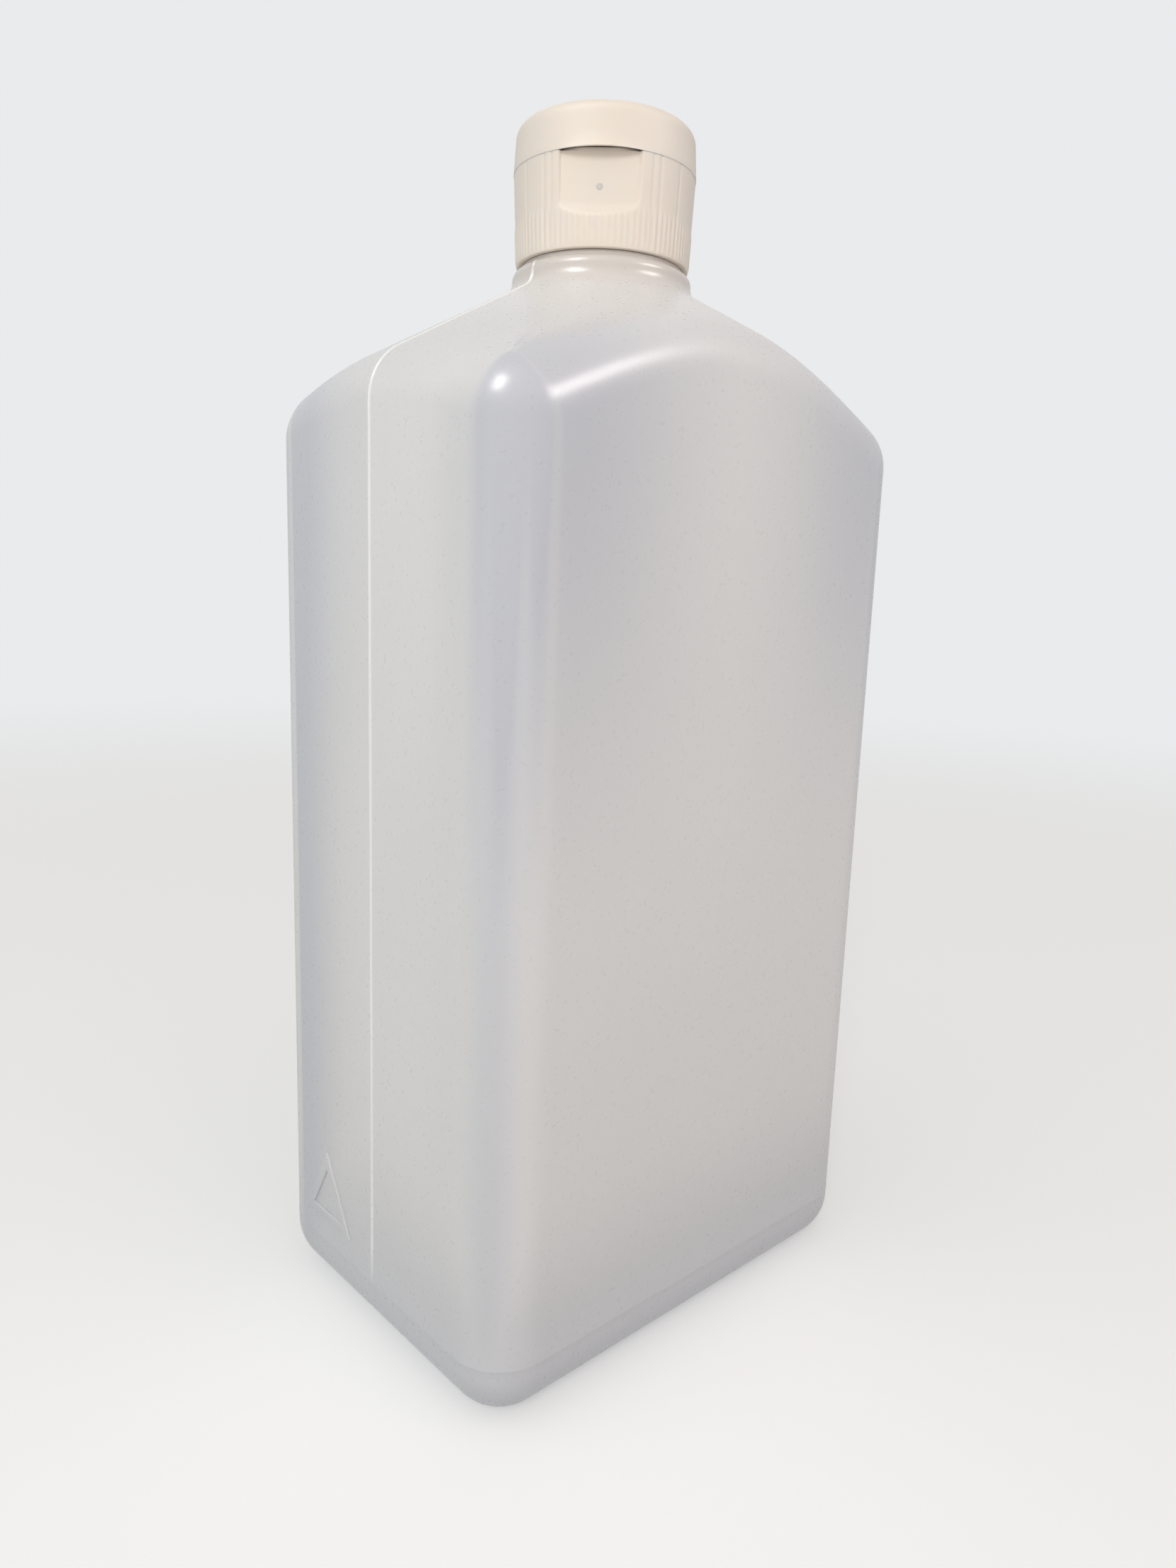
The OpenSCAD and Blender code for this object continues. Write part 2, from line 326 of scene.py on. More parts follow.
def on_shoulder_edge(column, skin, turn, rise=0.0):
    """Over the shoulder's edge: turn goes from 0, on the wall, to 1, on the cone."""
    core, out = column[:2]
    way = lift(out).slerp(cone_normal(core), turn)
    return lift(core, wall_top(column)) + (skin + rise) * way


def turned(column, radius, z):
    """On a turned part. A column beside the ridge keeps its y, and the others keep their angle."""
    core, out, _, straight = column[:4]
    if straight:
        return Vector((math.copysign(math.sqrt(radius**2 - core.y**2), core.x), core.y, z))
    outline = core + EDGE_R * out
    return lift(outline.normalized() * radius, z)


def on_cone(column, skin, way_up, top_r, rise=0.0):
    """On the cone: way_up goes from 0, at the shoulder's edge, to 1, where the radius is top_r."""
    core, out, _, straight = column[:4]
    foot_r = core.length + skin * math.sin(SLOPE)
    radius = foot_r + (top_r - foot_r) * way_up
    z = core_apex + skin / math.cos(SLOPE) - radius * math.tan(SLOPE)
    if straight:
        place = turned(column, radius, z)
    else:
        start = math.atan2(core.y, core.x)
        outline = core + EDGE_R * out
        end = math.atan2(outline.y, outline.x)
        angle = start + (end - start) * way_up
        place = Vector((radius * math.cos(angle), radius * math.sin(angle), z))
    return place + rise * cone_normal(core)


def on_plate(column, inset, corner, z):
    """On a rounded rectangle that lies that far inside the core's outline."""
    core, out = column[:2]
    half_x, half_y = core_w - inset - corner, core_d - inset - corner
    flat = Vector((core.x * half_x / core_w, core.y * half_y / core_d))
    return lift(flat + corner * out, z)


# %% [markdown]
# ## The neck's section
#
# Above the cone everything is turned about the axis: a hollow curve, the collar with its soft
# upper edge, the neck, the mouth and the bore. One section of arcs and straight steps says it
# all, and each point carries its outward direction, so that the ridge can stand on it. A low ring
# on the collar almost closes the gap under the cap's skirt.

# %% Section of the collar, neck and bore
fillet_r = COLLAR_R + COLLAR_FILLET
fillet_z = apex - fillet_r * math.tan(SLOPE) + COLLAR_FILLET / math.cos(SLOPE)
touch_r = fillet_r - COLLAR_FILLET * math.sin(SLOPE)
ROOT_FILLET = 0.5
MOUTH_ROUND = 0.3
RING_R, RING_H, RING_BEVEL = 14.3, 0.72, 0.12


def collar_section():
    """The collar, from the cone to its soft upper edge."""
    hollow = arc(fillet_r, fillet_z, COLLAR_FILLET, 270 - math.degrees(SLOPE), 180, 9, side=-1)
    edge = arc(COLLAR_R - COLLAR_ROUND, collar_top - COLLAR_ROUND, COLLAR_ROUND, 0, 90, 8)
    return hollow[1:] + edge


def neck_section():
    """The low ring under the cap, the neck up to the mouth, over the mouth and down the bore."""
    ring_top = collar_top + RING_H
    ring_side = [(RING_R, collar_top, 1, 0), (RING_R, ring_top - RING_BEVEL, 1, 0)]
    ring_edge = (RING_R - RING_BEVEL, ring_top, 0, 1)
    root = arc(NECK_R + ROOT_FILLET, ring_top + ROOT_FILLET, ROOT_FILLET, 270, 180, 4, side=-1)
    outer = arc(NECK_R - NECK_ROUND, mouth - NECK_ROUND, NECK_ROUND, 0, 90, 4)
    inner = arc(BORE_R + MOUTH_ROUND, mouth - MOUTH_ROUND, MOUTH_ROUND, 90, 180, 4)
    inner_cone = core_apex + (EDGE_R - WALL) / math.cos(SLOPE) - BORE_R * math.tan(SLOPE)
    stops = [mouth - (mouth - inner_cone) * k / 4 for k in (1, 2, 3)]
    bore = [(BORE_R, z, -1, 0) for z in stops]
    neck = [(NECK_R, collar_top + NECK_H * k / 4, 1, 0) for k in (1, 2, 3)]
    return [*ring_side, ring_edge, *root, *neck, *outer, *inner, *bore]


print("hollow curve meets the cone at radius", round(touch_r, 2))

# %% [markdown]
# ## Rings from the base to the mouth and back
#
# The outer skin climbs from the pushed-up panel to the mouth, and the inner skin goes back down,
# so the shell is one closed solid with a wall of a millimetre. Light then passes through it as
# through the real one.

# %% Rings
INSERT_H = 11.6
INSERT_LINE = {-0.3: 0, -0.14: 0.7, 0: 1, 0.14: 0.7, 0.3: 0}
INSERT_RISE = 0.06
FOOT = 5.0
PANEL_DEPTH = 1.4
PANEL_CORNER, PANEL_CORNER_LEAST, PANEL_CORNER_FALL = 5.0, 1.5, 0.3
WALL_RINGS = 22
EDGE_RINGS = 12
CONE_RINGS = 16
PANEL_STEPS = ((17, 1.0), (9, 1.0), (2.3, 1.0), (1.9, 0.93), (0.4, 0.07), (0, 0))
SEAM_ON_WALL = 0.75
SEAM_END_STEPS = 4


def panel_rings(skin, foot_z):
    """The base's panel, from near its middle out to the foot."""
    grow = EDGE_R - skin
    for inset, depth in PANEL_STEPS:
        corner = max(PANEL_CORNER - PANEL_CORNER_FALL * inset, PANEL_CORNER_LEAST)
        yield lambda c, i=inset, d=depth, k=corner: on_plate(c, FOOT - grow + i, k, foot_z + d * PANEL_DEPTH)


def wall_rings(skin, ridge):
    """Up the wall, with the base insert's line and the foot of the parting ridge."""
    for step, share in INSERT_LINE.items():
        rise = share * INSERT_RISE * ridge
        yield lambda c, z=INSERT_H + step, r=rise: on_wall(c, skin, z, r)
    start = INSERT_H + max(INSERT_LINE)
    for i in range(1, WALL_RINGS):
        part = i / WALL_RINGS
        height = SEAM_RISE * SEAM_ON_WALL * ridge
        yield lambda c, p=part, h=height: on_wall(c, skin, start + (wall_top(c) - start) * p, h * c[2])


def outer_rings():
    """The outer skin, from the panel to the last turn of the collar."""
    yield from panel_rings(EDGE_R, 0.0)
    for i in range(EDGE_RINGS + 1):
        yield lambda c, t=i / EDGE_RINGS: on_base_edge(c, EDGE_R, t)
    yield from wall_rings(EDGE_R, 1.0)
    for i in range(EDGE_RINGS + 1):
        part = i / EDGE_RINGS
        height = SEAM_RISE * (SEAM_ON_WALL + (1 - SEAM_ON_WALL) * part)
        yield lambda c, t=part, h=height: on_shoulder_edge(c, EDGE_R, t, h * c[2])
    for i in range(1, CONE_RINGS + 1):
        yield lambda c, t=i / CONE_RINGS: on_cone(c, EDGE_R, t, touch_r, SEAM_RISE * c[2])
    section = collar_section()
    for i, (r, z, out_r, out_z) in enumerate(section):
        fade = 1 - max(0, i - len(section) + 1 + SEAM_END_STEPS) / SEAM_END_STEPS
        rise_r, rise_z = SEAM_RISE * fade * out_r, SEAM_RISE * fade * out_z
        yield lambda c, r=r, z=z, up_r=rise_r, up_z=rise_z: turned(c, r + up_r * c[2], z + up_z * c[2])


def inner_rings():
    """Over the mouth, down the bore and along the inner skin to the floor."""
    skin = EDGE_R - WALL
    for r, z, _, _ in neck_section():
        yield lambda c, r=r, z=z: turned(c, r, z)
    for i in range(CONE_RINGS, 0, -1):
        yield lambda c, t=i / CONE_RINGS: on_cone(c, skin, t, BORE_R)
    for i in range(EDGE_RINGS, -1, -1):
        yield lambda c, t=i / EDGE_RINGS: on_shoulder_edge(c, skin, t)
    yield from reversed(list(wall_rings(skin, 0.0)))
    for i in range(EDGE_RINGS, -1, -1):
        yield lambda c, t=i / EDGE_RINGS: on_base_edge(c, skin, t)
    yield from reversed(list(panel_rings(skin, WALL)))


# %% [markdown]
# ## Extruding the shell
#
# The first ring is a circle of as many points as there are columns. Each further ring is an
# extrusion of the last one's edges. A whole-number layer on the points carries the column through
# every extrusion, so each new point knows where it belongs. In the corners of the core the
# columns run together, and merging the doubles closes those poles.

# %% The shell
COLUMN_LAYER = "column"
# The points carry a share of painted shade and a share of the parting ridge's painted highlight.
THIN_SHADE_LAYER, RIDGE_HIGHLIGHT_LAYER = "thin", "ridge"
# Painted shade towards the foot and on the lower cone.
BASE_SHADE, BASE_FADE = 0.8, (3, 45)
CONE_SHADE, CONE_FADE = 0.35, (2, 12)
TOP_FADE = (70, 170)
EDGE_START, EDGE_END = 7, 16
RIDGE_HIGHLIGHT_WIDTH = 0.7
RIDGE_START_H = 1.0
MERGE_GAP = 0.002
BOTTLE_SHARP = math.radians(60)


def smooth(value, low, high):
    """0 below low, 1 above high and an S curve between."""
    t = max(0.0, min(1.0, (value - low) / (high - low)))
    return t * t * (3 - 2 * t)


def extrude_rings(bm, rings, columns):
    """Extrudes a ring of edges through the given places, with a cap at either end."""
    layer = bm.verts.layers.int.new(COLUMN_LAYER)
    made = bmesh.ops.create_circle(bm, segments=len(columns), radius=1, cap_ends=False)
    verts = made["verts"]
    for i, vert in enumerate(verts):
        vert[layer] = i
    edges = list(bm.edges)
    first = list(edges)
    place = next(rings)
    for vert in verts:
        vert.co = place(columns[vert[layer]])
    for place in rings:
        made = bmesh.ops.extrude_edge_only(bm, edges=edges)
        verts = [g for g in made["geom"] if isinstance(g, bmesh.types.BMVert)]
        edges = [g for g in made["geom"] if isinstance(g, bmesh.types.BMEdge)]
        for vert in verts:
            vert.co = place(columns[vert[layer]])
    bmesh.ops.contextual_create(bm, geom=first)
    bmesh.ops.contextual_create(bm, geom=edges)


def base_shade(z):
    """Painted shade near the foot: darker towards the bottom."""
    return BASE_SHADE * (1 - smooth(z, *BASE_FADE))


def note_shade_and_highlight(bm, columns):
    """Writes on each point its share of painted shade, and its share of the parting ridge's painted
    highlight.
    """
    column_layer = bm.verts.layers.int[COLUMN_LAYER]
    thin_shade_layer = bm.verts.layers.float.new(THIN_SHADE_LAYER)
    ridge_highlight_layer = bm.verts.layers.float.new(RIDGE_HIGHLIGHT_LAYER)
    for vert in bm.verts:
        column = columns[vert[column_layer]]
        z = vert.co.z
        top = wall_top(column)
        low, high = column[4:]
        # Painted shade of the column's wall, fading out over the shoulder's edge.
        wall = low + (high - low) * smooth(z, *TOP_FADE)
        wall *= 1 - smooth(z, top + EDGE_START, top + EDGE_END)
        # Painted shade on the lower cone beside the shoulder's edge.
        cone = CONE_SHADE * smooth(z, top, top + EDGE_START) * smooth(shoulder - z, *CONE_FADE)
        vert[thin_shade_layer] = max(wall, base_shade(z), cone)
        # The parting ridge's painted highlight, from the base insert's line up to the collar.
        near = max(0.0, 1 - abs(vert.co.y) / RIDGE_HIGHLIGHT_WIDTH) if column[3] else 0.0
        begun = smooth(z, INSERT_H, INSERT_H + RIDGE_START_H)
        vert[ridge_highlight_layer] = near * begun * (1 - smooth(z, shoulder, collar_top))


def all_rings():
    """The rings of both skins, one after the other."""
    yield from outer_rings()
    yield from inner_rings()


bm = bmesh.new()
extrude_rings(bm, all_rings(), columns)
note_shade_and_highlight(bm, columns)
bmesh.ops.remove_doubles(bm, verts=bm.verts, dist=MERGE_GAP)
bmesh.ops.recalc_face_normals(bm, faces=bm.faces)
print("shell holds", round(bm.calc_volume() / 1000, 1), "cm3 of plastic")
print("open edges:", sum(1 for e in bm.edges if len(e.link_faces) != 2))
bottle = finish_piece(bm, "bottle_shell", "bottle", sharp=BOTTLE_SHARP)
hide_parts("bottle")

# %% [markdown]
# ## The raised triangle
#
# Low on the narrow face a small triangle can be felt with a finger. It is a plain ridge round an
# open middle. A three-sided disc, an inset and an extrusion give it, and a bevel rounds its crest.
# It is one with the wall, so it carries the painted shade of its panel and of the foot.

# %% Triangle
TRIANGLE_SIDE = 16.2
TRIANGLE_RIDGE = 1.8
TRIANGLE_H = 0.4
TRIANGLE_Y = 15.4
TRIANGLE_Z = 16.1
TRIANGLE_ROUND = 0.3
SUNK = 0.3


def raised_triangle():
    """A triangular ridge on the narrow face, facing -X."""
    bm = bmesh.new()
    radius = TRIANGLE_SIDE / math.sqrt(3)
    bmesh.ops.create_circle(bm, cap_ends=True, segments=3, radius=radius)
    bmesh.ops.inset_region(
        bm, faces=bm.faces[:], thickness=TRIANGLE_RIDGE, use_even_offset=True, use_boundary=True
    )
    middle = min(bm.faces, key=lambda f: f.calc_center_median().length)
    bmesh.ops.delete(bm, geom=[middle], context="FACES_ONLY")
    ring = bm.faces[:]
    made = bmesh.ops.extrude_face_region(bm, geom=ring)
    raised = [g for g in made["geom"] if isinstance(g, bmesh.types.BMVert)]
    bmesh.ops.translate(bm, verts=raised, vec=(0, 0, TRIANGLE_H + SUNK))
    crest = [e for e in bm.edges if all(v.co.z > TRIANGLE_H for v in e.verts)]
    bmesh.ops.recalc_face_normals(bm, faces=bm.faces)
    rims = [e for e in crest if e.calc_face_angle(0) > 1]
    bmesh.ops.bevel(
        bm, geom=rims, affect="EDGES", offset=TRIANGLE_ROUND, segments=4, profile=0.5, material=-1
    )
    top = max(bm.verts, key=lambda v: v.co.y)
    print("triangle's corner starts at", [round(c, 2) for c in top.co])
    return bm


bm = raised_triangle()
corner = max(bm.verts, key=lambda v: v.co.to_2d().length)
lean = math.atan2(corner.co.y, corner.co.x)
turn_all(bm, math.pi / 2 - lean)
# Now one corner points along +Y. Next Y goes up to Z, and the ridge's top faces -X.
turn_all(bm, math.pi / 2, "X")
turn_all(bm, -math.pi / 2)
middle_z = TRIANGLE_Z + TRIANGLE_SIDE / math.sqrt(3) / 2
bmesh.ops.translate(bm, verts=bm.verts, vec=(-half_w + SUNK, TRIANGLE_Y, middle_z))
bmesh.ops.recalc_face_normals(bm, faces=bm.faces)
# The triangle takes the painted shade of the panel and the foot round it.
thin_shade_layer = bm.verts.layers.float.new(THIN_SHADE_LAYER)
for vert in bm.verts:
    panel, _ = panel_thin_shade(vert.co.y, core_d, narrow=True, front=-1)
    vert[thin_shade_layer] = max(base_shade(vert.co.z), panel)
triangle = finish_piece(bm, "raised_triangle", "bottle")

# %% [markdown]
# ## The weld under the base
#
# Where the mould pinched the soft tube shut, a blunt weld runs across the pushed-up panel. It is
# a bar with round ends, half sunk into the panel.

# %% Weld
WELD_R, WELD_ROUND = 0.6, 0.45
weld_length = 2 * core_w - 4 * FOOT
bm = bmesh.new()
bmesh.ops.create_cone(bm, cap_ends=True, segments=24, radius1=WELD_R, radius2=WELD_R, depth=weld_length)
ends = [e for e in bm.edges if abs(e.verts[0].co.z - e.verts[1].co.z) < WELD_R]
bmesh.ops.bevel(bm, geom=ends, affect="EDGES", offset=WELD_ROUND, segments=4, profile=0.5, material=-1)
turn_all(bm, math.pi / 2, "Y")
bmesh.ops.translate(bm, verts=bm.verts, vec=(0, 0, PANEL_DEPTH))
weld = finish_piece(bm, "base_weld", "bottle")

# %% [markdown]
# ## Threads
#
# A thread is a small section swept along a helix. Spin with a rise does that in one call, from a
# single face with four corners. At both ends the ridge sinks into the wall, as a moulded thread
# does, so a point is pulled back to the root by its distance along the turns.

# %% Threads
LEAD = 4.23
THREAD_TURNS = 1.5
THREAD_TAPER = 0.12
THREAD_LEAST = 0.02
THREAD_STEPS = 150
THREAD_START = 0.4
FOOT_HALF, CREST_HALF = 0.95, 0.4


def thread(root_r, crest_r, low_z, name, body):
    """A thread from its root radius to its crest radius. A crest inside the root is an inner one."""
    side = math.copysign(1, crest_r - root_r)
    bm = bmesh.new()
    root = root_r - side * SUNK
    section = [(root, -FOOT_HALF), (crest_r, -CREST_HALF), (crest_r, CREST_HALF), (root, FOOT_HALF)]
    corners = [bm.verts.new((r, 0, z)) for r, z in section]
    face = bm.faces.new(corners)
    bmesh.ops.spin(
        bm, geom=[face, *bm.edges, *corners], cent=(0, 0, 0), axis=(0, 0, 1),
        dvec=(0, 0, LEAD * THREAD_TURNS / THREAD_STEPS), angle=2 * math.pi * THREAD_TURNS,
        steps=THREAD_STEPS, use_merge=False,
    )
    for vert in bm.verts:
        around = math.atan2(vert.co.y, vert.co.x) / (2 * math.pi)
        turns = around + round(vert.co.z / LEAD - around)
        inside = min(turns, THREAD_TURNS - turns)
        keep = min(1, max(0, inside / THREAD_TAPER + THREAD_LEAST))
        radius = vert.co.to_2d().length
        target = root + (radius - root) * keep
        vert.co.x *= target / radius
        vert.co.y *= target / radius
    bmesh.ops.recalc_face_normals(bm, faces=bm.faces)
    turn_all(bm, THREAD_START)
    bmesh.ops.translate(bm, verts=bm.verts, vec=(0, 0, low_z))
    return finish_piece(bm, name, body)


THREAD_R = 13.55
THREAD_LOW = collar_top + 4.2
neck_thread = thread(NECK_R, THREAD_R, THREAD_LOW, "neck_thread", "bottle")

# %% [markdown]
# ## The cap's section
#
# The cap base is a turned part before its wall gets its details: skirt, deck, pouring spout, the
# ring that guides the lid and the plug that seals the bore. Its section is a closed outline with
# rounded corners. A corner is cut back and replaced by an arc, as a fillet tool does.

# %% Section with rounded corners
CORNER_ARC = 3
SECTION_MERGE_GAP = 0.0005


def rounded_section(corners):
    """A closed section with arcs at its corners. A corner is (radius from the axis, z, rounding)."""
    points = []
    count = len(corners)
    for i, (r, z, rounding) in enumerate(corners):
        here = Vector((r, z))
        if rounding == 0:
            points.append(here)
            continue
        before = (Vector(corners[i - 1][:2]) - here).normalized()
        after = (Vector(corners[(i + 1) % count][:2]) - here).normalized()
        half = before.angle(after) / 2
        reach = rounding / math.tan(half)
        centre = here + (before + after).normalized() * rounding / math.sin(half)
        start = here + before * reach - centre
        end = here + after * reach - centre
        for k in range(CORNER_ARC + 1):
            way = start.normalized().slerp(end.normalized(), k / CORNER_ARC)
            points.append(centre + way * rounding)
    return points


def spin_section(points, steps):
    """Spins a closed section about the axis. Points on the axis are merged into poles."""
    bm = bmesh.new()
    verts = [bm.verts.new((p.x, 0, p.y)) for p in points]
    edges = [bm.edges.new((verts[i], verts[(i + 1) % len(verts)])) for i in range(len(verts))]
    bmesh.ops.spin(
        bm, geom=verts + edges, cent=(0, 0, 0), axis=(0, 0, 1), angle=2 * math.pi,
        steps=steps, use_merge=True,
    )
    bmesh.ops.remove_doubles(bm, verts=bm.verts, dist=SECTION_MERGE_GAP)
    return bm


# %% [markdown]
# ## Sizes of the cap
#
# The heights come from the frame, and the radii from the photograph where they show. The seam
# between base and lid is a close butt joint just above the seat that the lid rests on.

# %% Sizes of the cap
CAP_TURN = math.radians(-44.5)
SKIRT_LOW_R, SKIRT_TOP_R = 15.2, 15.87
SKIRT_BORE_R = 13.7
SEAT_T = 0.8
GUIDE_R, GUIDE_T, GUIDE_H = 14.45, 1.2, 1.0
SPOUT_R, SPOUT_WALL = 2.5, 1.4
PLUG_R, PLUG_WALL, PLUG_H = 10.5, 1.1, 3.0
RECESS_Y, RECESS_H = 14.2, 7.8
HINGE_Y, HINGE_FLAT, GUIDE_FLAT = 15.0, 14.85, 13.35
SEAM_UP = 0.35
SEAM_ROUND = 0.02

cap_low = cap_low_corner.z
seat = lid_low_corner.z
spout_top = cap_high_corner.z
deck_low = seat - SEAT_T
seam = seat + SEAM_UP
recess_low = seat - RECESS_H
print("cap from", round(cap_low, 2), "to", round(seat, 2), "and its spout's top at", round(spout_top, 2))

# %% [markdown]
# ## The skirt's wall
#
# Fine ribs for grip run round the lower skirt, and a few broad shallow grooves run up it. The
# thumb recess has a nearly flat floor with a sloping ledge under it, and the hinge side has a
# flat of its own. All of this is a radius that depends on the angle and the height, so the spun
# wall is simply moved in or out. Booleans would give sharper corners than the mould does.

# %% Wall of the skirt
RIB_COUNT = 90
RIB_H = 0.12
RIB_TOP = 6.4
RIB_FOOT, RIB_FULL, RIB_END = 0.3, 0.8, 0.6
GROOVES = (32.5, 38, 55, 77.5, 100, 122.5, 145)
GROOVE_DEPTH = 0.1
GROOVE_WIDTH = 1.1
SOFT_EDGE = 0.12
FAR_OUT = 99.0
RECESS_HALF = math.radians(25.7)
RECESS_TURN = math.radians(-1.4)
RECESS_BOW = 0.85
RECESS_SIDE = math.radians(0.5)
RECESS_DEPTH = 2.0
LEDGE_SLOPE = 0.7
CORNER_LIFT, CORNER_FROM = 0.7, 0.75


def soft_min(a, b, softness):
    """The smaller of two values, with a rounded change-over."""
    mix = max(0.0, min(1.0, 0.5 + 0.5 * (b - a) / softness))
    return b + (a - b) * mix - softness * mix * (1 - mix)


def flat_radius(angle, distance, z):
    """Radius of a flat at that distance from the axis, with a ledge at 45 degrees under it."""
    facing = math.cos(angle)
    if facing < 0.5:
        return FAR_OUT
    return (distance + max(0.0, recess_low - z)) / facing


def recess_radius(angle, z):
    """Radius of the thumb recess: a nearly flat floor, upright sides and a ledge with round corners."""
    aside = abs(angle - RECESS_TURN)
    part = aside / RECESS_HALF
    if part > 1.1:
        return FAR_OUT
    low = recess_low + CORNER_LIFT * (max(0.0, part - CORNER_FROM) / (1 - CORNER_FROM)) ** 2
    floor = RECESS_Y / math.cos(RECESS_BOW * aside) + max(0.0, low - z) * LEDGE_SLOPE
    return floor + RECESS_DEPTH * smooth(aside, RECESS_HALF - RECESS_SIDE, RECESS_HALF + RECESS_SIDE)


def plain_radius(z):
    """Radius of the skirt's wall before its details."""
    return SKIRT_LOW_R + (SKIRT_TOP_R - SKIRT_LOW_R) * (z - cap_low) / (seam - cap_low)


def from_hinge(angle):
    """The same angle from the hinge, half a turn away from the recess."""
    return angle - math.copysign(math.pi, angle)


def skirt_radius(angle, z):
    """Radius of the skirt's wall. The angle is from the middle of the thumb recess."""
    wall = plain_radius(z)
    rise = z - cap_low
    ribs = RIB_H * (0.5 + 0.5 * math.cos(RIB_COUNT * angle))
    wall += ribs * smooth(rise, RIB_FOOT, RIB_FULL) * (1 - smooth(rise, RIB_TOP - RIB_END, RIB_TOP))
    degrees = abs(math.degrees(angle))
    for groove in GROOVES:
        wall -= GROOVE_DEPTH * math.exp(-(((degrees - groove) / GROOVE_WIDTH) ** 2))
    wall = soft_min(wall, recess_radius(angle, z), SOFT_EDGE)
    return soft_min(wall, flat_radius(from_hinge(angle), HINGE_FLAT, z), SOFT_EDGE)


def angle_from_recess(point):
    """The angle of a point about the axis, 0 where the thumb recess is."""
    return math.atan2(point.x, -point.y)


def set_radius(vert, radius):
    """Moves a point in or out to that radius."""
    factor = radius / vert.co.to_2d().length
    vert.co.x *= factor
    vert.co.y *= factor


# %% [markdown]
# ## The cap base
#
# The section has close rings on the skirt's wall, so that the ribs and the recess have points to
# move. Where the recess or the hinge's flat cuts in, the guide ring behind moves in with it.

# %% The cap base
CAP_STEPS = 720
WALL_STEP = 0.4
WALL_MIN_R = 14.9


def cap_base_section():
    """The closed section of the cap base, with close rings on the skirt's wall."""
    count = int((seam - cap_low) / WALL_STEP)
    heights = [cap_low + (seam - cap_low) * k / count for k in range(1, count)]
    wall = [(plain_radius(z), z, 0) for z in heights]
    guide_in = GUIDE_R - GUIDE_T
    return rounded_section([
        (SKIRT_LOW_R, cap_low, 0.2), *wall, (SKIRT_TOP_R, seam, SEAM_ROUND),
        (GUIDE_R, seam, 0), (GUIDE_R, seat + GUIDE_H, 0.35), (guide_in, seat + GUIDE_H, 0.35),
        (guide_in, seat, 0.3), (SPOUT_R + SPOUT_WALL, seat, 0.4),
        (SPOUT_R + SPOUT_WALL, spout_top, 0.35), (SPOUT_R, spout_top, 0.15),
        (SPOUT_R, deck_low, 0.2), (PLUG_R - PLUG_WALL, deck_low, 0.3),
        (PLUG_R - PLUG_WALL, deck_low - PLUG_H, 0.3), (PLUG_R, deck_low - PLUG_H, 0.5),
        (PLUG_R, deck_low, 0), (SKIRT_BORE_R, deck_low, 0.3), (SKIRT_BORE_R, cap_low, 0.3),
    ])


def shape_cap_base(bm):
    """Moves the spun skirt's wall to its radii, and the guide ring out of the recess's way."""
    for vert in bm.verts:
        radius = vert.co.to_2d().length
        angle = angle_from_recess(vert.co)
        if radius > WALL_MIN_R:
            rounded_off = max(0.0, plain_radius(vert.co.z) - radius)
            set_radius(vert, skirt_radius(angle, vert.co.z) - rounded_off)
        elif vert.co.z > deck_low + 0.1 and radius > GUIDE_R - GUIDE_T - 0.5:
            limit = min(recess_radius(angle, seat), flat_radius(from_hinge(angle), GUIDE_FLAT, seat))
            set_radius(vert, radius - max(0.0, GUIDE_R - limit))


bm = spin_section(cap_base_section(), CAP_STEPS)
shape_cap_base(bm)
bmesh.ops.recalc_face_normals(bm, faces=bm.faces)
turn_all(bm, CAP_TURN)
cap = finish_piece(bm, "cap_skirt", "cap_base")
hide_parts("cap_base")

# %% [markdown]
# ## Gate mark and inner thread
#
# The plastic enters the mould at the gate, which leaves a small low button on the recess's floor.
# Inside the skirt runs the thread that holds the cap down. It lies half a pitch under the neck's.

# %% Gate mark and inner thread
GATE_R, GATE_H, GATE_Z = 0.5, 0.05, 199.2
INNER_CREST_R = 12.65
bm = bmesh.new()
bmesh.ops.create_uvsphere(bm, u_segments=24, v_segments=12, radius=1)
bmesh.ops.scale(bm, vec=(GATE_R, GATE_H, GATE_R), verts=bm.verts)
bmesh.ops.translate(bm, vec=(0, -RECESS_Y, GATE_Z), verts=bm.verts)
turn_all(bm, CAP_TURN + RECESS_TURN)
gate_mark = finish_piece(bm, "gate_mark", "cap_base")
cap_thread = thread(SKIRT_BORE_R, INNER_CREST_R, THREAD_LOW - LEAD / 2, "cap_thread", "cap_base")

# %% [markdown]
# ## The lid
#
# The lid is turned too, with a slightly domed top and a soft upper edge. At the front a small
# cone breaks out of its wall as the thumb lip. Its radius seen from the axis comes from the
# cone's own circle, so the wall is moved out wherever that circle lies further out.

# %% The lid
LID_R, LID_TOP_R = 15.95, 15.6
LID_ROUND = 2.2
LID_WALL = 1.2
CROWN = 0.3
LIP_FORWARD, LIP_H, LIP_OUT = 4.2, 2.1, 0.5
LIP_LEAN, LIP_ROUND = 0.2, 0.3
UNDERCUT, UNDERCUT_FADE = 0.4, 0.06
PIN_R, PIN_TIP_R, PIN_DEPTH = 2.3, 1.9, 1.6
LID_STEPS = 360
INNER_R = LID_R - LID_WALL
lid_top = lid_high_corner.z - CROWN
round_z = lid_top - LID_ROUND


